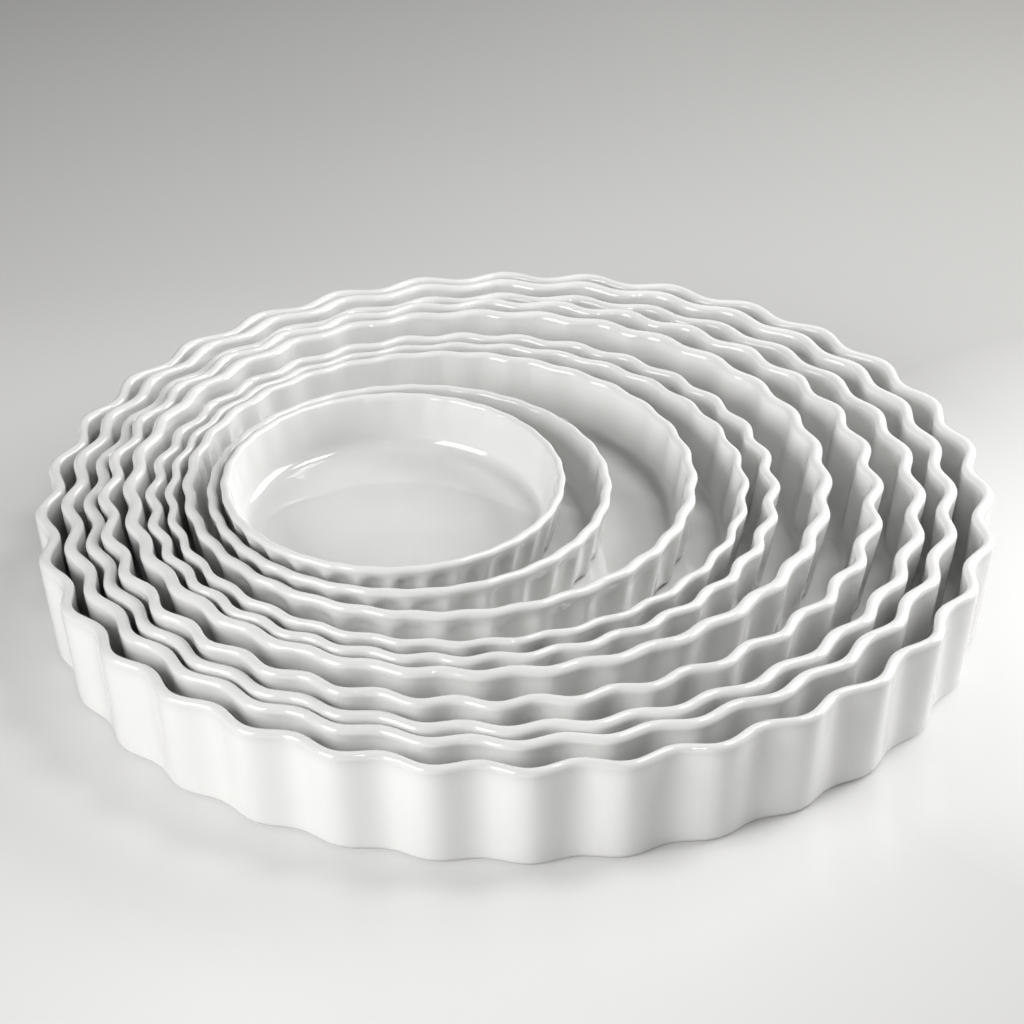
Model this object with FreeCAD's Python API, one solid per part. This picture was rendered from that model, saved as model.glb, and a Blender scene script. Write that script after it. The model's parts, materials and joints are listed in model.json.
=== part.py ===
"""Nest of ten round fluted quiche dishes in glazed porcelain, each standing inside the next larger one.

Millimetres, +Z up. The origin is the middle of the largest dish's foot, on the table it stands on.
Every dish is one fired piece: a wavy wall with a rounded rim, a flat floor and a low foot ring.
"""
import FreeCAD
import Part
import math
import os

# Names, from the largest dish to the smallest. Every list below runs in this order.
NAMES = [
    "dish_33_cm", "dish_31_cm", "dish_29_cm", "dish_27_cm", "dish_24_cm",
    "dish_22_cm", "dish_20_cm", "dish_18_cm", "dish_14_cm", "dish_12_cm",
]

# Driving dimensions shared by the whole set.
FLUTES = 32
RIM_DIAMETER = 330.0
SEAT_GAP = 0.3
FOOT_EDGE = 2.5
FOOT_RING_WIDTH = 5.0
FOOT_RECESS = 0.8
FLUTE_RUNOUT = 5.5

# Driving dimensions of each dish.
HEIGHTS = [40.0, 37.7, 34.9, 34.0, 31.6, 28.1, 26.0, 23.5, 22.0, 22.1]
WALLS = [4.2, 4.6, 4.6, 4.2, 4.8, 3.9, 3.0, 3.8, 3.4, 3.0]
FLOORS = [3.0, 3.0, 2.9, 2.8, 2.7, 2.6, 2.6, 2.7, 2.9, 3.0]
COVES = [4.0, 4.0, 3.0, 4.0, 3.0, 4.0, 3.4, 5.2, 4.6, 5.0]
RIM_WAVES = [4.6, 3.6, 3.3, 3.6, 2.2, 2.4, 1.6, 1.0, 0.5, 0.3]
WALL_WAVES = [4.6, 3.6, 3.3, 3.6, 2.6, 2.4, 2.2, 2.2, 2.0, 1.7]
FLARE_DEGREES = [6.5, 8.0, 9.5, 11.0, 12.0, 11.0, 11.5, 10.5, 11.5, 13.0]
TURN_DEGREES = [1.3, 0.8, 0.2, 0.7, 0.2, 0.4, 0.8, 0.6, 0.6, 0.6]

# Clear width between the walls of neighbouring dishes when they share a middle, and how far each dish
# is pushed from that middle, as shares of that width (+X right, +Y away from the viewer).
RIM_GAPS = [6.0, 4.8, 5.4, 8.1, 8.4, 4.5, 8.4, 15.2, 6.9]
PUSH_SHARES = [
    (-0.33, 0.32), (-0.34, -0.66), (-0.87, -0.02), (-0.57, 0.31), (-0.60, -0.59),
    (-0.42, -0.34), (-0.70, 0.44), (-0.68, -0.56), (-0.79, -0.40),
]

# How the waves weaken: on the outside towards the foot, on the inside towards the floor.
FOOT_WAVE_SHARE = 0.7
INNER_WAVE_SHARE = 0.6

# Points that draw one flute: crest, flank, valley, flank.
POINTS_PER_FLUTE = 4


class Ring:
    """One level of a dish's surface: a circle of the given radius with the flutes' wave on it."""

    def __init__(self, radius, height, wave):
        self.radius = radius
        self.height = height
        self.wave = wave

    def curve(self, turn):
        """Closed smooth curve through the crests, flanks and valleys of the flutes."""
        count = FLUTES * POINTS_PER_FLUTE
        points = []
        for index in range(count):
            angle = 2 * math.pi * index / count
            reach = self.radius + self.wave / 2 * math.cos(FLUTES * angle)
            along, across = math.cos(angle + turn), math.sin(angle + turn)
            points.append(FreeCAD.Vector(reach * along, reach * across, self.height))
        curve = Part.BSplineCurve()
        curve.interpolate(Points=points, PeriodicFlag=True, Parameters=list(range(count + 1)))
        return curve


def band(rings, turn, bend=0):
    """Surface between two rings, or a curved one that leaves the first and meets the last along its middle rings.

    A round band of three rings turns through the angle bend, and its middle ring is where its tangents meet.
    """
    curves = [ring.curve(turn) for ring in rings]
    poles = [list(row) for row in zip(*[curve.getPoles() for curve in curves])]
    weights = [1] * len(rings)
    if bend:
        weights[1] = math.cos(bend / 2)
    degree = len(rings) - 1
    surface = Part.BSplineSurface()
    surface.buildFromPolesMultsKnots(
        poles, curves[0].getMultiplicities(), [degree + 1, degree + 1], curves[0].getKnots(), [0, 1],
        True, False, curves[0].Degree, degree, [weights] * len(poles))
    return surface.toShape()


def disc(outer, turn, inner=None):
    """Flat face inside a ring, or between two rings."""
    wires = [Part.Wire(ring.curve(turn).toShape()) for ring in (outer, inner) if ring]
    return Part.Face(wires)


class Dish:
    """One dish in its own frame: its axis is Z and its foot stands on the plane of zero height."""

    def __init__(self, index, rim_middle):
        self.name = NAMES[index]
        self.height = HEIGHTS[index]
        self.half_wall = WALLS[index] / 2
        self.cove = COVES[index]
        self.rim_wave = RIM_WAVES[index]
        self.wall_wave = WALL_WAVES[index]
        self.foot_wave = WALL_WAVES[index] * FOOT_WAVE_SHARE
        self.inner_wave = RIM_WAVES[index] * INNER_WAVE_SHARE
        self.flare = math.radians(FLARE_DEGREES[index])
        self.turn = math.radians(TURN_DEGREES[index])
        self.rim_middle = rim_middle
        self.rim_level = self.height - self.half_wall
        self.floor_level = FOOT_RECESS + FLOORS[index]

    def wall_radius(self, level, side):
        """Mean radius of the wall at a level: side is 1 on the outside, -1 on the inside."""
        middle = self.rim_middle - (self.rim_level - level) * math.tan(self.flare)
        return middle + side * self.half_wall / math.cos(self.flare)

    def around_rim(self, outward, upward, wave):
        """Ring at a place on or about the rim's round section, in half walls across and along the wall."""
        across, along = outward * self.half_wall, upward * self.half_wall
        sine, cosine = math.sin(self.flare), math.cos(self.flare)
        radius = self.rim_middle + across * cosine + along * sine
        return Ring(radius, self.rim_level - across * sine + along * cosine, wave)

    def corner(self, level, side, radius, waves):
        """Three rings of a round corner between the wall and a flat at a level: flat, corner, wall."""
        reach = radius * math.tan((math.pi / 2 - self.flare) / 2)
        at = self.wall_radius(level, side)
        on_wall = level + reach * math.cos(self.flare)
        return [Ring(at - reach, level, waves[0]), Ring(at, level, waves[1]),
                Ring(at + reach * math.sin(self.flare), on_wall, waves[2])]

    def recessed(self, level, wave):
        """Ring of the outer wall whose crests stay on the wall where its flutes are deeper than the rim's."""
        sunk = max(wave - self.rim_wave, 0) / 2
        return Ring(self.wall_radius(level, 1) - sunk, level, wave)

    def outer_faces(self):
        """Foot ring, its round edge, the fluted wall, and the stretch where the flutes run out at the rim."""
        sunk = max(self.foot_wave - self.rim_wave, 0) / 2
        edge = self.corner(0, 1, FOOT_EDGE, [self.foot_wave] * 3)
        for ring in edge:
            ring.radius -= sunk
        rim = self.around_rim(1, 0, self.rim_wave)
        shoulder = self.recessed(rim.height - FLUTE_RUNOUT, self.wall_wave)
        ending = self.recessed(rim.height - FLUTE_RUNOUT * 2 / 3, self.wall_wave)
        plain = self.recessed(rim.height - FLUTE_RUNOUT / 3, self.rim_wave)
        hollow = Ring(edge[0].radius - self.foot_wave / 2 - FOOT_RING_WIDTH, 0, 0)
        roof = Ring(hollow.radius, FOOT_RECESS, 0)
        return [
            disc(roof, self.turn),
            band([roof, hollow], self.turn),
            disc(edge[0], self.turn, hollow),
            band(edge, self.turn, math.pi / 2 - self.flare),
            band([edge[2], shoulder], self.turn),
            band([shoulder, ending, plain, rim], self.turn),
        ]

    def rim_faces(self):
        """Rounded rim, as two quarter rounds that meet at its top."""
        outside = [self.around_rim(1, 0, self.rim_wave), self.around_rim(1, 1, self.rim_wave),
                   self.around_rim(0, 1, self.rim_wave)]
        inside = [self.around_rim(0, 1, self.rim_wave), self.around_rim(-1, 1, self.rim_wave),
                  self.around_rim(-1, 0, self.rim_wave)]
        return [band(rings, self.turn, math.pi / 2) for rings in (outside, inside)]

    def inner_faces(self):
        """Inner wall, the cove at its foot and the flat floor, which the flutes don't reach."""
        cove = self.corner(self.floor_level, -1, self.cove, [0, self.inner_wave / 2, self.inner_wave])
        return [
            band([self.around_rim(-1, 0, self.rim_wave), cove[2]], self.turn),
            band(cove, self.turn, math.pi / 2 - self.flare),
            disc(cove[0], self.turn),
        ]

    def solid(self, place):
        """The whole dish, closed and set down at its place in the nest."""
        shell = Part.Shell(self.outer_faces() + self.rim_faces() + self.inner_faces())
        shell.sewShape()
        solid = Part.Solid(shell)
        if solid.Volume < 0:
            solid.reverse()
        solid.translate(place)
        return solid


def nest():
    """Every dish with its place: each one stands on the floor of the dish around it, pushed off its middle."""
    rim_middle = RIM_DIAMETER / 2 - RIM_WAVES[0] / 2 - WALLS[0] / 2
    place = FreeCAD.Vector(0, 0, 0)
    placed = []
    for index in range(len(NAMES)):
        dish = Dish(index, rim_middle)
        placed.append((dish, place))
        if index < len(RIM_GAPS):
            gap = RIM_GAPS[index]
            right, back = PUSH_SHARES[index]
            rim_middle -= gap + (WALLS[index] + WALLS[index + 1]) / 2
            place = place + FreeCAD.Vector(right * gap, back * gap, dish.floor_level + SEAT_GAP)
    return placed


os.makedirs("parts", exist_ok=True)
for dish, place in nest():
    dish.solid(place).exportStep("parts/" + dish.name + ".step")
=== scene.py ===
"""Nest of ten fluted porcelain quiche dishes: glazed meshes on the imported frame, table, light and camera."""
import bpy
import json
import math
import numpy as np
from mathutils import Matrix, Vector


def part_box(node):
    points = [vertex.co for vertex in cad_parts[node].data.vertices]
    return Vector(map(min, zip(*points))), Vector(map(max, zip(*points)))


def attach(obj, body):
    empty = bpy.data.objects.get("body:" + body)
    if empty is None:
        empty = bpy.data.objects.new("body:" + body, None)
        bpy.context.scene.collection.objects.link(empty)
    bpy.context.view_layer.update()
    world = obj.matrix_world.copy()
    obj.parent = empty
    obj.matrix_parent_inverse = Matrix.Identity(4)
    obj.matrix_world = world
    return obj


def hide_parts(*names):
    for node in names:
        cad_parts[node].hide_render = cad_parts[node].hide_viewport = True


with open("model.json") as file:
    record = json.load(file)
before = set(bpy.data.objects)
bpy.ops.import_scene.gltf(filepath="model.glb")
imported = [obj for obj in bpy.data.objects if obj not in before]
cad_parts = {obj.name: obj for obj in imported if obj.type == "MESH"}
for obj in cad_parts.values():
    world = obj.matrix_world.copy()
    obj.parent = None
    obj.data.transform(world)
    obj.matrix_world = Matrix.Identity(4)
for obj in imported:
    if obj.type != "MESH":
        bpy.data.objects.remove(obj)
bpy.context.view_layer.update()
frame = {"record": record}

# Names, from the largest dish to the smallest. Every list of dish sizes runs in this order.
NODES = [
    "dish_33_cm", "dish_31_cm", "dish_29_cm", "dish_27_cm", "dish_24_cm",
    "dish_22_cm", "dish_20_cm", "dish_18_cm", "dish_14_cm", "dish_12_cm",
]

# Sizes shared by the whole set, in metres, and shares of the outer wall's and the rim's wave.
MM = 0.001
FLUTES = 32
FOOT_EDGE = 2.5 * MM
FOOT_RING_WIDTH = 5.0 * MM
FOOT_RECESS = 0.8 * MM
FOOT_SOFTENING = 0.3 * MM
FLUTE_RUNOUT = 5.5 * MM
FOOT_WAVE_SHARE = 0.7
INNER_WAVE_SHARE = 0.6

# A dish whose rim waves less than this is smooth inside.
SMOOTH_RIM = 0.6 * MM

# Sizes of each dish, in millimetres and degrees.
WALLS = [4.2, 4.6, 4.6, 4.2, 4.8, 3.9, 3.0, 3.8, 3.4, 3.0]
FLOORS = [3.0, 3.0, 2.9, 2.8, 2.7, 2.6, 2.6, 2.7, 2.9, 3.0]
COVES = [4.0, 4.0, 3.0, 4.0, 3.0, 4.0, 3.4, 5.2, 4.6, 5.0]
RIM_WAVES = [4.6, 3.6, 3.3, 3.6, 2.2, 2.4, 1.6, 1.0, 0.5, 0.3]
WALL_WAVES = [4.6, 3.6, 3.3, 3.6, 2.6, 2.4, 2.2, 2.2, 2.0, 1.7]
FLARE_DEGREES = [6.5, 8.0, 9.5, 11.0, 12.0, 11.0, 11.5, 10.5, 11.5, 13.0]
TURN_DEGREES = [1.3, 0.8, 0.2, 0.7, 0.2, 0.4, 0.8, 0.6, 0.6, 0.6]

# How narrow the ridges of each dish's outer wall are: 1 is an even wave.
RIDGE_POWERS = [1.0, 1.0, 1.0, 1.0, 1.0, 1.0, 1.3, 1.7, 1.8, 1.8]

# How thick the glaze lies, from 0 to 1. It thins out to 0 on top of the rim.
WALL_POOL = 0.5
RIM_POOL = 0.3
LOW_WALL_POOL = 0.7
COVE_POOL = 1.0
FLOOR_POOL = 0.6

# Share of the greyer glaze painted as shade on rims and inner walls, and how it comes in at the rim and in the
# cove.
PAINTED_SHADE_SHARE = 0.8
RIM_PAINTED_SHADE_POWER = 2
COVE_PAINTED_SHADE_POWER = 3

# How the inner wave dies out in the cove, and how far up the foot's edge the bare clay reaches.
COVE_WAVE_POWER = 1.5
BARE_EDGE_SHARE = 1 / 3

# Fineness of the meshes: columns in one flute, and rows on each stretch of the section.
COLUMNS_PER_FLUTE = 12
UNDERSIDE_ROWS = 5
EDGE_ROWS = 6
WALL_ROWS = 8
RUNOUT_ROWS = 9
RIM_ROWS = 14
COVE_ROWS = 8
FLOOR_ROWS = 7

# Colours of the glaze where it is thin and thick, its greyer painted shade on the floors, inner walls and
# rims, and where it is clouded, and of specks, wear and bare clay.
THIN_GLAZE = (0.71, 0.707, 0.697, 1)
THICK_GLAZE = (0.67, 0.67, 0.66, 1)
PAINTED_SHADE_GLAZE = (0.585, 0.585, 0.575, 1)
CLOUDED_GLAZE = (0.73, 0.725, 0.712, 1)
SPECK = (0.45, 0.41, 0.36, 1)
WORN_GLAZE = (0.56, 0.55, 0.53, 1)
DARK_BISCUIT = (0.66, 0.62, 0.55, 1)
PALE_BISCUIT = (0.76, 0.73, 0.67, 1)

# Noise patterns of the glaze: repeats to the metre, and detail.
CLOUD_NOISE = (26.0, 4.0)
SPECK_FIELD_NOISE = (70.0, 1.0)
GRAIN_NOISE = (900.0, 3.0)
SHEEN_NOISE = (45.0, 3.0)
SWELL_NOISE = (38.0, 2.0)
PEEL_NOISE = (520.0, 2.0)

# Cell patterns of the specks and wear lines, and the noise that breaks up the lines.
SPECK_SCALE = 150.0
LINE_SCALE = 3.0
LINE_BREAK_SCALE = 24.0
LINE_BREAK_DETAIL = 2.0

# Stretch of each pattern's values over which it comes in or goes out.
CLOUD_RANGE = (0.3, 0.7)
SPECK_RANGE = (0.02, 0.06)
SPECK_FIELD_RANGE = (0.66, 0.70)
LINE_RANGE = (0.0, 0.02)
LINE_BREAK_RANGE = (0.5, 0.62)
WORN_FLOOR_RANGE = (0.85, 1.0)
GRAIN_RANGE = (0.35, 0.65)

# Wear lines: the turn of each set in radians, and how close its lines lie.
WEAR_LINES = ((0.5, 22.0), (1.9, 26.0), (2.6, 18.0))

# Share of that closeness along the lines, which makes them long.
LINE_LENGTH_SHARE = 1.4 / 22.0

# Strength of each pattern in the colour, in the roughness and in the relief.
CLOUD_SHARE = 0.35
SPECK_SHARE = 0.3
WEAR_SHARE = 0.16
SHEEN_ROUGHNESS = (0.03, 0.07)
WEAR_ROUGHNESS = 0.2
BARE_ROUGHNESS = 0.6
PEEL_RELIEF = 0.03
GRAIN_RELIEF = 0.12
WEAR_RELIEF = 0.02
RELIEF_STRENGTH = 0.5
RELIEF_DEPTH = 0.6 * MM
GLAZE_IOR = 1.52

# Table: its reach; its painted light, paler at the front and darker at the back; its painted glow; and the
# painted pool of white light at its right.
TABLE_REACH = 4.0
TABLE_PAINTED_LIGHT_FRONT = (0.66, 0.657, 0.648, 1)
TABLE_PAINTED_SHADE_BACK = (0.25, 0.247, 0.238, 1)
TABLE_CLOUD = (0.9, 0.9, 0.89, 1)
TABLE_NOISE = (3.0, 2.0)
TABLE_CLOUD_RANGE = (0.2, 0.8)
TABLE_CLOUD_SHARE = 0.06
TABLE_ROUGHNESS = 0.28
TABLE_IOR = 1.35
PAINTED_LIGHT_FRONT_PLACE = (-0.09, -0.23, 0.0)
PAINTED_LIGHT_FRONT_REACH = (0.61, 0.82, 1.0)
PAINTED_GLOW_COLOUR = (1.0, 0.997, 0.985, 1)
PAINTED_GLOW_PLACE = (-0.12, -0.12, 0.0)
PAINTED_GLOW_REACH = (0.35, 0.35, 1.0)
PAINTED_GLOW_SHARE = 0.35
PAINTED_LIGHT_POOL_PLACE = (0.27, -0.01, 0.0)
PAINTED_LIGHT_POOL_REACH = (0.20, 0.21, 1.0)
PAINTED_LIGHT_POOL_EDGE = 0.53

# Faint even light from all round.
ROOM_COLOUR = (0.97, 0.98, 1.0, 1)
ROOM_STRENGTH = 0.05

# Camera at the photograph's place: height and tilt, distance, and the small shift and roll of its aim.
CAMERA_TILT = 0.55092
CAMERA_DISTANCE = 1.6743
CAMERA_RIGHT = -0.0012
CAMERA_UP = -0.00235
CAMERA_ROLL = -0.008718
CAMERA_LENS = 171.13
SENSOR_WIDTH = 36.0
AIM_LEVEL = 0.0379


class Section:
    """Rows of a dish's surface, from the middle of its underside round the rim to the middle of its floor."""

    def __init__(self):
        self.radius = []
        self.level = []
        self.wave = []
        self.bare = []
        self.pool = []
        self.floor = []
        self.ridge = []

    def add(self, radius, level, wave, bare=0.0, pool=WALL_POOL, floor=0.0, ridge=0.0):
        """One row: its mean radius, level and wave, then how bare, pooled, floor-like and ridged it is.
        Floor-like rows take the greyer glaze painted as shade.
        """
        self.radius.append(radius)
        self.level.append(level)
        self.wave.append(wave)
        self.bare.append(bare)
        self.pool.append(pool)
        self.floor.append(floor)
        self.ridge.append(ridge)


class Dish:
    """One dish's section: its wall leans out, its rim is rounded and a cove lies above its floor."""

    def __init__(self, index, outer_radius, height):
        self.half_wall = WALLS[index] * MM / 2
        self.flare = math.radians(FLARE_DEGREES[index])
        self.rim_wave = RIM_WAVES[index] * MM
        self.wall_wave = WALL_WAVES[index] * MM
        self.foot_wave = self.wall_wave * FOOT_WAVE_SHARE
        self.inner_wave = self.rim_wave * INNER_WAVE_SHARE if self.rim_wave > SMOOTH_RIM else 0.0
        self.cove = COVES[index] * MM
        self.floor_level = FOOT_RECESS + FLOORS[index] * MM
        self.rim_middle = outer_radius - self.half_wall - self.rim_wave / 2
        self.rim_level = height - self.half_wall
        self.corner_angle = math.pi / 2 - self.flare
        self.section = Section()
        self.add_foot()
        self.add_outer_wall()
        self.add_rim()
        self.add_inside()

    def wall_radius(self, level, side):
        """Mean radius of the wall at a level: side is 1 on the outside, -1 on the inside."""
        middle = self.rim_middle - (self.rim_level - level) * math.tan(self.flare)
        return middle + side * self.half_wall / math.cos(self.flare)

    def recessed(self, level, wave):
        """Mean radius of the outer wall, sunk where its flutes are deeper than the rim's."""
        return self.wall_radius(level, 1) - max(wave - self.rim_wave, 0) / 2

    def add_foot(self):
        """Underside with its shallow recess, the bare foot ring and its rounded outer edge."""
        add = self.section.add
        foot_radius = self.recessed(0, self.foot_wave) - FOOT_EDGE * math.tan(self.corner_angle / 2)
        hollow = foot_radius - self.foot_wave / 2 - FOOT_RING_WIDTH
        for row in range(1, UNDERSIDE_ROWS):
            add(hollow * row / UNDERSIDE_ROWS, FOOT_RECESS, 0)
        add(hollow - FOOT_SOFTENING, FOOT_RECESS, 0)
        add(hollow, FOOT_RECESS - FOOT_SOFTENING, 0)
        add(hollow, FOOT_SOFTENING, 0, bare=0.5)
        add(hollow + FOOT_SOFTENING, 0, 0, bare=1.0)
        add((hollow + foot_radius) / 2, 0, self.foot_wave / 2, bare=1.0, ridge=1.0)
        for row in range(EDGE_ROWS + 1):
            turn = self.corner_angle * row / EDGE_ROWS
            add(foot_radius + FOOT_EDGE * math.sin(turn), FOOT_EDGE * (1 - math.cos(turn)), self.foot_wave,
                bare=max(0.0, 1 - row / (EDGE_ROWS * BARE_EDGE_SHARE)), ridge=1.0)

    def add_outer_wall(self):
        """Fluted outer wall, and the stretch below the rim where the flutes run out and the rim's painted
        shade comes in.
        """
        add = self.section.add
        start_radius, start_level = self.section.radius[-1], self.section.level[-1]
        rim_side = self.rim_level - self.half_wall * math.sin(self.flare)
        shoulder = rim_side - FLUTE_RUNOUT
        ending = rim_side - FLUTE_RUNOUT * 2 / 3
        plain = rim_side - FLUTE_RUNOUT / 3
        radii = [self.recessed(shoulder, self.wall_wave), self.recessed(ending, self.wall_wave),
                 self.wall_radius(plain, 1), self.rim_middle + self.half_wall * math.cos(self.flare)]
        levels = [shoulder, ending, plain, rim_side]
        waves = [self.wall_wave, self.wall_wave, self.rim_wave, self.rim_wave]
        for row in range(1, WALL_ROWS + 1):
            part = row / WALL_ROWS
            add(start_radius + (radii[0] - start_radius) * part,
                start_level + (shoulder - start_level) * part,
                self.foot_wave + (self.wall_wave - self.foot_wave) * part, ridge=1.0)
        for row in range(1, RUNOUT_ROWS + 1):
            part = row / RUNOUT_ROWS
            left = 1 - part
            shares = [left ** 3, 3 * left ** 2 * part, 3 * left * part ** 2, part ** 3]
            add(np.dot(shares, radii), np.dot(shares, levels), np.dot(shares, waves),
                pool=WALL_POOL + (RIM_POOL - WALL_POOL) * part,
                floor=PAINTED_SHADE_SHARE * part ** RIM_PAINTED_SHADE_POWER, ridge=left)

    def add_rim(self):
        """Rounded rim, where the glaze is thinnest, greyed with painted shade."""
        for row in range(1, RIM_ROWS + 1):
            over = math.pi * row / RIM_ROWS
            turn = over - self.flare
            self.section.add(self.rim_middle + self.half_wall * math.cos(turn),
                             self.rim_level + self.half_wall * math.sin(turn), self.rim_wave,
                             pool=RIM_POOL * (1 - math.sin(over)), floor=PAINTED_SHADE_SHARE)

    def add_inside(self):
        """Inner wall, the cove where the glaze gathers, and the flat floor, greyed with painted shade."""
        add = self.section.add
        start_radius, start_level = self.section.radius[-1], self.section.level[-1]
        cove_reach = self.cove * math.tan(self.corner_angle / 2)
        cove_top = self.floor_level + cove_reach * math.cos(self.flare)
        cove_radius = self.wall_radius(cove_top, -1)
        for row in range(1, WALL_ROWS + 1):
            part = row / WALL_ROWS
            add(start_radius + (cove_radius - start_radius) * part,
                start_level + (cove_top - start_level) * part,
                self.rim_wave + (self.inner_wave - self.rim_wave) * part,
                pool=RIM_POOL + (LOW_WALL_POOL - RIM_POOL) * part, floor=PAINTED_SHADE_SHARE)
        floor_radius = self.wall_radius(self.floor_level, -1) - cove_reach
        for row in range(1, COVE_ROWS + 1):
            part = row / COVE_ROWS
            turn = self.corner_angle * (1 - part)
            add(floor_radius + self.cove * math.sin(turn),
                self.floor_level + self.cove * (1 - math.cos(turn)),
                self.inner_wave * (1 - part) ** COVE_WAVE_POWER,
                pool=LOW_WALL_POOL + (COVE_POOL - LOW_WALL_POOL) * math.sin(math.pi * part),
                floor=PAINTED_SHADE_SHARE + (1 - PAINTED_SHADE_SHARE) * part ** COVE_PAINTED_SHADE_POWER)
        for row in range(1, FLOOR_ROWS):
            add(floor_radius * (1 - row / FLOOR_ROWS), self.floor_level, 0, pool=FLOOR_POOL, floor=1.0)


def dish_faces(rows, columns):
    """Faces between the rows of a dish, and fans to the two middle points that follow its rows."""
    faces = []
    for row in range(rows - 1):
        for column in range(columns):
            after = (column + 1) % columns
            faces.append((row * columns + column, row * columns + after,
                          (row + 1) * columns + after, (row + 1) * columns + column))
    last = (rows - 1) * columns
    under, over = rows * columns, rows * columns + 1
    for column in range(columns):
        after = (column + 1) % columns
        faces.append((under, after, column))
        faces.append((over, last + column, last + after))
    return faces


def dish_mesh(index, node):
    """A closed fine mesh of one dish where its node stands, with rows named in attributes for the glaze."""
    low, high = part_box(node)
    middle_x, middle_y = (low[0] + high[0]) / 2, (low[1] + high[1]) / 2
    outer_radius = min(high[0] - low[0], high[1] - low[1]) / 2
    section = Dish(index, outer_radius, high[2] - low[2]).section
    rows, columns = len(section.radius), FLUTES * COLUMNS_PER_FLUTE
    angles = 2 * math.pi * np.arange(columns) / columns
    turn = math.radians(TURN_DEGREES[index])
    even = np.cos(FLUTES * angles)[None, :]
    narrow = 2 * ((1 + even) / 2) ** RIDGE_POWERS[index] - 1
    ridge = np.array(section.ridge)[:, None]
    waves = even * (1 - ridge) + narrow * ridge
    reach = np.array(section.radius)[:, None] + np.array(section.wave)[:, None] / 2 * waves
    grid = np.empty((rows, columns, 3))
    grid[:, :, 0] = middle_x + reach * np.cos(angles + turn)[None, :]
    grid[:, :, 1] = middle_y + reach * np.sin(angles + turn)[None, :]
    grid[:, :, 2] = low[2] + np.array(section.level)[:, None]
    points = grid.reshape(-1, 3).tolist()
    points.append((middle_x, middle_y, low[2] + section.level[0]))
    points.append((middle_x, middle_y, low[2] + section.level[-1]))
    mesh = bpy.data.meshes.new(node + "_glazed")
    mesh.from_pydata(points, [], dish_faces(rows, columns))
    # Painted shade: the glaze is greyer in the hollows between narrow ridges too.
    hollow_painted_shade = ridge * (1 - even) / 2 * (RIDGE_POWERS[index] - 1)
    layers = (("bare", section.bare, 0), ("pool", section.pool, 0), ("floor", section.floor, hollow_painted_shade))
    for name, values, more in layers:
        layer = mesh.attributes.new(name, "FLOAT", "POINT")
        spread = np.minimum(np.repeat(values, columns).reshape(rows, columns) + more, 1.0)
        layer.data.foreach_set("value", spread.ravel().tolist() + [values[0], values[-1]])
    mesh.polygons.foreach_set("use_smooth", [True] * len(mesh.polygons))
    mesh.update()
    return mesh


class Nodes:
    """Short calls for a material's node tree."""

    def __init__(self, name):
        self.material = bpy.data.materials.new(name)
        self.material.use_nodes = True
        self.tree = self.material.node_tree
        self.shader = self.tree.nodes["Principled BSDF"]
        self.output = self.tree.nodes["Material Output"]

    def new(self, kind, **settings):
        node = self.tree.nodes.new(kind)
        for name, value in settings.items():
            setattr(node, name, value)
        return node

    def link(self, source, target):
        self.tree.links.new(source, target)

    def place(self, scale=(1.0, 1.0, 1.0), turn=(0.0, 0.0, 0.0)):
        where = self.new("ShaderNodeTexCoord")
        mapping = self.new("ShaderNodeMapping")
        mapping.inputs["Scale"].default_value = scale
        mapping.inputs["Rotation"].default_value = turn
        self.link(where.outputs["Object"], mapping.inputs["Vector"])
        return mapping.outputs["Vector"]

    def patch(self, place, reach):
        """A round soft patch about a place: 1 in its middle and 0 at its reach."""
        where = self.new("ShaderNodeTexCoord")
        mapping = self.new("ShaderNodeMapping", vector_type="TEXTURE")
        mapping.inputs["Location"].default_value = place
        mapping.inputs["Scale"].default_value = reach
        self.link(where.outputs["Object"], mapping.inputs["Vector"])
        ball = self.new("ShaderNodeTexGradient", gradient_type="SPHERICAL")
        self.link(mapping.outputs["Vector"], ball.inputs["Vector"])
        return ball.outputs["Fac"]

    def noise(self, scale, detail, vector):
        node = self.new("ShaderNodeTexNoise")
        node.inputs["Scale"].default_value = scale
        node.inputs["Detail"].default_value = detail
        self.link(vector, node.inputs["Vector"])
        return node.outputs["Fac"]

    def cells(self, scale, vector, **settings):
        node = self.new("ShaderNodeTexVoronoi", **settings)
        node.inputs["Scale"].default_value = scale
        self.link(vector, node.inputs["Vector"])
        return node.outputs["Distance"]

    def attribute(self, name):
        return self.new("ShaderNodeAttribute", attribute_name=name).outputs["Fac"]

    def spread(self, value, low, high, to_low=0.0, to_high=1.0):
        node = self.new("ShaderNodeMapRange")
        node.inputs["From Min"].default_value = low
        node.inputs["From Max"].default_value = high
        node.inputs["To Min"].default_value = to_low
        node.inputs["To Max"].default_value = to_high
        self.link(value, node.inputs["Value"])
        return node.outputs["Result"]

    def math(self, operation, first, second):
        node = self.new("ShaderNodeMath", operation=operation)
        for value, socket in ((first, node.inputs[0]), (second, node.inputs[1])):
            if isinstance(value, (int, float)):
                socket.default_value = value
            else:
                self.link(value, socket)
        return node.outputs["Value"]

    def times(self, first, second):
        return self.math("MULTIPLY", first, second)

    def plus(self, first, second):
        return self.math("ADD", first, second)

    def larger(self, first, second):
        return self.math("MAXIMUM", first, second)

    def mix(self, share, first, second):
        node = self.new("ShaderNodeMix", data_type="RGBA")
        self.link(share, node.inputs[0])
        for value, socket in ((first, node.inputs[6]), (second, node.inputs[7])):
            if isinstance(value, tuple):
                socket.default_value = value
            else:
                self.link(value, socket)
        return node.outputs[2]


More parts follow.
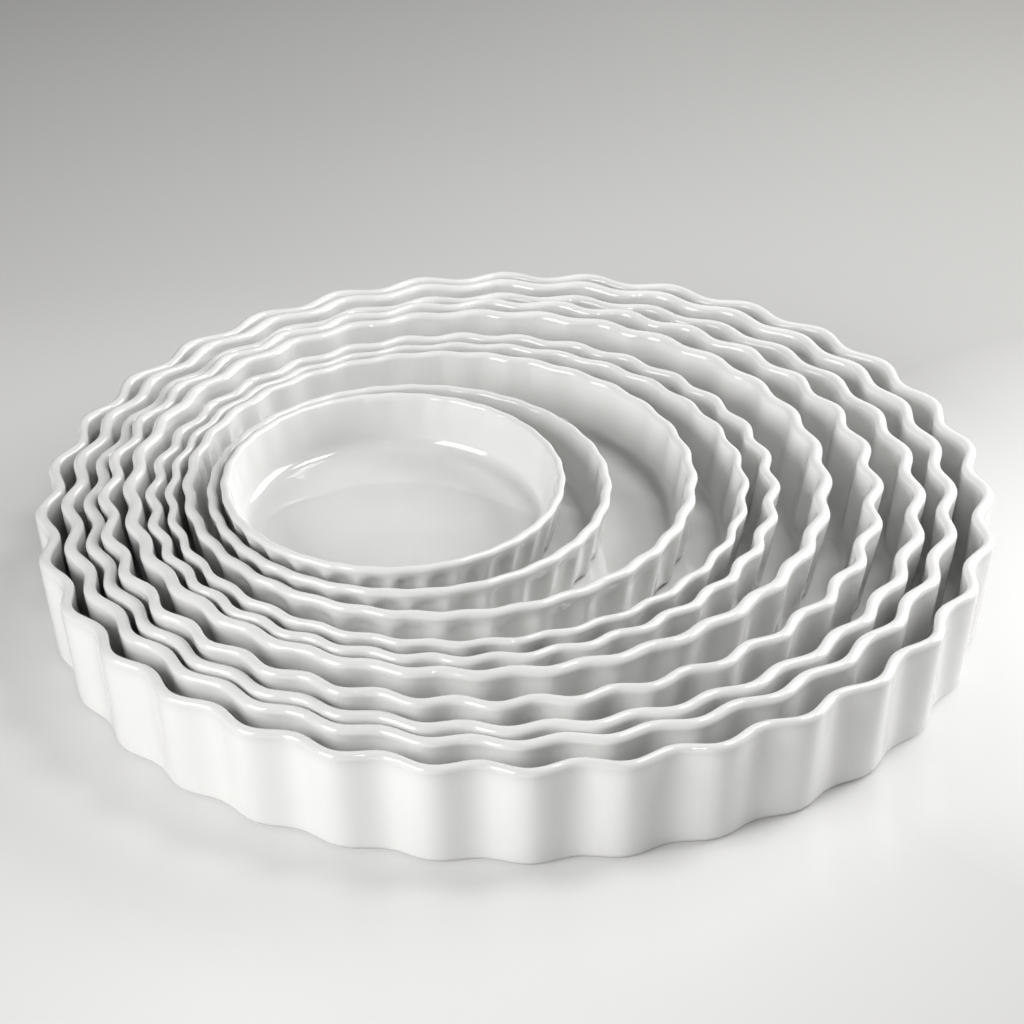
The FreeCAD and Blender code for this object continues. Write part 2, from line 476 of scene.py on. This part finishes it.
def wear_lines(nodes, plain):
    """Fine straight lines from cutlery, in sets that cross, each broken up by a cloudy pattern."""
    lines = 0.0
    for turn, closeness in WEAR_LINES:
        vector = nodes.place((closeness, closeness * LINE_LENGTH_SHARE, closeness), (0.0, 0.0, turn))
        edges = nodes.cells(LINE_SCALE, vector, feature="DISTANCE_TO_EDGE")
        line = nodes.spread(edges, *LINE_RANGE, 1.0, 0.0)
        breaks = nodes.noise(LINE_BREAK_SCALE + closeness, LINE_BREAK_DETAIL, plain)
        broken = nodes.spread(breaks, *LINE_BREAK_RANGE)
        lines = nodes.larger(lines, nodes.times(line, broken))
    return lines


def glaze():
    """White porcelain under a clear glaze: thinner on the rims, gathered in the coves, worn on the floors,
    with painted shade greying the floors, inner walls, rims and the hollows between narrow ridges.
    """
    nodes = Nodes("white_glaze")
    shader = nodes.shader
    plain = nodes.place()
    pool = nodes.attribute("pool")
    bare = nodes.attribute("bare")
    floor = nodes.attribute("floor")
    # Painted shade: rows marked as floor take the greyer glaze, on the floors and also on the inner walls, the
    # rims and the hollows between narrow ridges.
    glazed = nodes.mix(floor, nodes.mix(pool, THIN_GLAZE, THICK_GLAZE), PAINTED_SHADE_GLAZE)
    cloud = nodes.spread(nodes.noise(*CLOUD_NOISE, plain), *CLOUD_RANGE)
    clouded = nodes.mix(nodes.times(cloud, CLOUD_SHARE), glazed, CLOUDED_GLAZE)
    # Rare pin-size iron specks under the glaze.
    near = nodes.spread(nodes.cells(SPECK_SCALE, plain), *SPECK_RANGE, 1.0, 0.0)
    rare = nodes.spread(nodes.noise(*SPECK_FIELD_NOISE, plain), *SPECK_FIELD_RANGE)
    specked = nodes.mix(nodes.times(nodes.times(near, rare), SPECK_SHARE), clouded, SPECK)
    # Wear on the flat floors.
    wear = nodes.times(wear_lines(nodes, plain), nodes.spread(floor, *WORN_FLOOR_RANGE))
    worn = nodes.mix(nodes.times(wear, WEAR_SHARE), specked, WORN_GLAZE)
    # Unglazed foot ring.
    grain = nodes.spread(nodes.noise(*GRAIN_NOISE, plain), *GRAIN_RANGE)
    biscuit = nodes.mix(grain, DARK_BISCUIT, PALE_BISCUIT)
    nodes.link(nodes.mix(bare, worn, biscuit), shader.inputs["Base Color"])
    rough = nodes.spread(nodes.noise(*SHEEN_NOISE, plain), *CLOUD_RANGE, *SHEEN_ROUGHNESS)
    rough = nodes.plus(rough, nodes.times(wear, WEAR_ROUGHNESS))
    rough = nodes.plus(rough, nodes.times(bare, BARE_ROUGHNESS))
    nodes.link(rough, shader.inputs["Roughness"])
    shader.inputs["IOR"].default_value = GLAZE_IOR
    # The fired glaze isn't quite even, and the bare clay is grainy.
    swell = nodes.noise(*SWELL_NOISE, plain)
    peel = nodes.noise(*PEEL_NOISE, plain)
    relief = nodes.plus(swell, nodes.times(peel, PEEL_RELIEF))
    relief = nodes.plus(relief, nodes.times(nodes.times(grain, bare), GRAIN_RELIEF))
    relief = nodes.math("SUBTRACT", relief, nodes.times(wear, WEAR_RELIEF))
    bump = nodes.new("ShaderNodeBump")
    bump.inputs["Strength"].default_value = RELIEF_STRENGTH
    bump.inputs["Distance"].default_value = RELIEF_DEPTH
    nodes.link(relief, bump.inputs["Height"])
    nodes.link(bump.outputs["Normal"], shader.inputs["Normal"])
    return nodes.material


def table_top():
    """Smooth grey table with painted light: paler towards the front, with a painted glow and a painted pool of
    white light at the right.
    """
    nodes = Nodes("table_painted_light")
    shader = nodes.shader
    # Painted light: the table's colour is paler towards the front and darker to the back.
    painted_light_tone = nodes.mix(nodes.patch(PAINTED_LIGHT_FRONT_PLACE, PAINTED_LIGHT_FRONT_REACH), TABLE_PAINTED_SHADE_BACK, TABLE_PAINTED_LIGHT_FRONT)
    cloud = nodes.noise(*TABLE_NOISE, nodes.place())
    cloud = nodes.spread(cloud, *TABLE_CLOUD_RANGE, 0.0, TABLE_CLOUD_SHARE)
    nodes.link(nodes.mix(cloud, painted_light_tone, TABLE_CLOUD), shader.inputs["Base Color"])
    shader.inputs["Roughness"].default_value = TABLE_ROUGHNESS
    shader.inputs["IOR"].default_value = TABLE_IOR
    # The painted glow and the painted pool of light are seen by the camera and in the glaze, and throw no
    # light on the dishes.
    painted_glow = nodes.new("ShaderNodeEmission")
    painted_glow.inputs["Color"].default_value = PAINTED_GLOW_COLOUR
    painted_glow_patch = nodes.times(nodes.patch(PAINTED_GLOW_PLACE, PAINTED_GLOW_REACH), PAINTED_GLOW_SHARE)
    share = nodes.larger(painted_glow_patch, nodes.spread(nodes.patch(PAINTED_LIGHT_POOL_PLACE, PAINTED_LIGHT_POOL_REACH), 0.0, PAINTED_LIGHT_POOL_EDGE))
    path = nodes.new("ShaderNodeLightPath")
    seen = nodes.larger(path.outputs["Is Camera Ray"], path.outputs["Is Glossy Ray"])
    seen = nodes.larger(seen, path.outputs["Is Transmission Ray"])
    blend = nodes.new("ShaderNodeMixShader")
    nodes.link(nodes.times(share, seen), blend.inputs["Fac"])
    nodes.link(shader.outputs["BSDF"], blend.inputs[1])
    nodes.link(painted_glow.outputs["Emission"], blend.inputs[2])
    nodes.link(blend.outputs["Shader"], nodes.output.inputs["Surface"])
    return nodes.material


# The ten dishes.
white_glaze = glaze()
body_of = {node: body for body, nodes in frame["record"]["behaviour"]["bodies"].items() for node in nodes}
for index, node in enumerate(NODES):
    dish = bpy.data.objects.new(node + "_glazed", dish_mesh(index, node))
    bpy.context.scene.collection.objects.link(dish)
    dish.data.materials.append(white_glaze)
    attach(dish, body_of[node])
    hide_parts(node)

# The table.
corners = [(-TABLE_REACH, -TABLE_REACH, 0), (TABLE_REACH, -TABLE_REACH, 0),
           (TABLE_REACH, TABLE_REACH, 0), (-TABLE_REACH, TABLE_REACH, 0)]
table_mesh = bpy.data.meshes.new("table_top")
table_mesh.from_pydata(corners, [], [(0, 1, 2, 3)])
table = bpy.data.objects.new("table_top", table_mesh)
bpy.context.scene.collection.objects.link(table)
table.data.materials.append(table_top())


def lamp(name, place, target, size, power):
    """A soft box of light at a place, turned towards a target."""
    data = bpy.data.lights.new(name, "AREA")
    data.shape = "RECTANGLE"
    data.size, data.size_y = size
    data.energy = power
    item = bpy.data.objects.new(name, data)
    item.location = place
    toward = Vector(target) - Vector(place)
    item.rotation_euler = toward.to_track_quat("-Z", "Y").to_euler()
    bpy.context.scene.collection.objects.link(item)


# Lamps, each with its place, what it is turned to, its width and height, and its power in watts.
lamp("left_box", (-1.64, -1.23, 1.00), (0.0, 0.0, 0.03), (1.4, 1.2), 54.5)
lamp("top_box", (0.72, 0.22, 1.45), (0.0, 0.0, 0.03), (0.45, 0.45), 10.5)
lamp("front_low", (-0.1, -1.6, 0.12), (0.0, 0.0, 0.02), (1.2, 0.2), 3.2)
lamp("right_box", (0.81, 0.37, 0.41), (0.0, 0.0, 0.03), (0.8, 0.64), 15.5)
lamp("spark", (0.08, -1.05, 1.2), (0.0, 0.0, 0.04), (0.06, 0.05), 1.8)

world = bpy.data.worlds.new("studio")
bpy.context.scene.world = world
world.use_nodes = True
room = world.node_tree.nodes["Background"]
room.inputs["Color"].default_value = ROOM_COLOUR
room.inputs["Strength"].default_value = ROOM_STRENGTH

camera_data = bpy.data.cameras.new("camera")
camera_data.sensor_width = SENSOR_WIDTH
camera_data.lens = CAMERA_LENS
camera = bpy.data.objects.new("camera", camera_data)
tilt_sine, tilt_cosine = math.sin(CAMERA_TILT), math.cos(CAMERA_TILT)
camera.location = (CAMERA_RIGHT,
                   -CAMERA_DISTANCE * tilt_cosine + CAMERA_UP * tilt_sine,
                   CAMERA_DISTANCE * tilt_sine + CAMERA_UP * tilt_cosine + AIM_LEVEL)
look = Matrix.Rotation(math.pi / 2 - CAMERA_TILT, 3, "X") @ Matrix.Rotation(CAMERA_ROLL, 3, "Z")
camera.rotation_euler = look.to_euler()
bpy.context.scene.collection.objects.link(camera)
bpy.context.scene.camera = camera
bpy.context.scene.view_settings.view_transform = "Standard"
